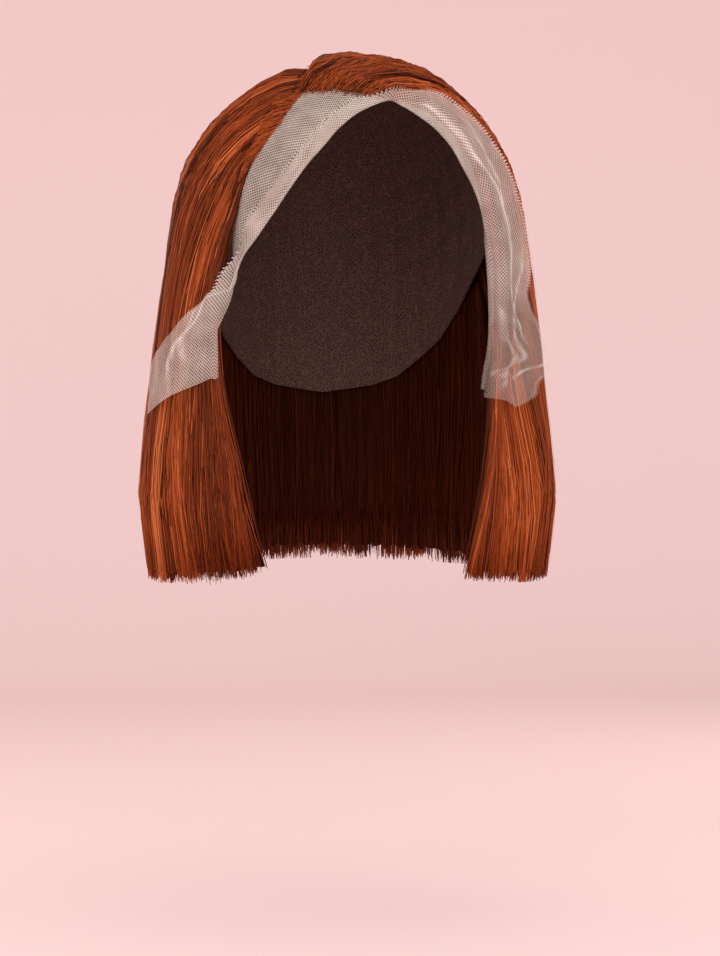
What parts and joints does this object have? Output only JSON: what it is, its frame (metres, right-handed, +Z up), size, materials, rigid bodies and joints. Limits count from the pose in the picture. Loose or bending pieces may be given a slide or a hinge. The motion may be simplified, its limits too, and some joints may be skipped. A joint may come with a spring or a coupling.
{
  "type": "bob wig",
  "caption": "Straight blunt bob wig with a side part: a thin cap open below, hair in fused locks on its outside and a sheer lace strip folded back along the hairline.",
  "frame": {"origin": "inside of the cap's crown, at the point where the head stops", "axes": "+Z up through the crown, -Y the way the face looks, +X the wearer's left"},
  "size_m": [0.2291, 0.192, 0.2913],
  "materials": {
    "cap_net": "dark brown knitted net, matt",
    "lace": "sheer beige-white hexagonal lace, matt, see-through",
    "hair": "copper-orange straight hair with a soft gloss along the strands",
    "hair_under": "deep copper-brown hair in the shade of the upper layers"
  },
  "bodies": {
    "root": {"wig_cap": "cap_net", "lace_front": "lace", "hair_left": "hair", "hair_right": "hair", "hair_back": "hair", "hair_nape": "hair_under"}
  },
  "joints": []
}
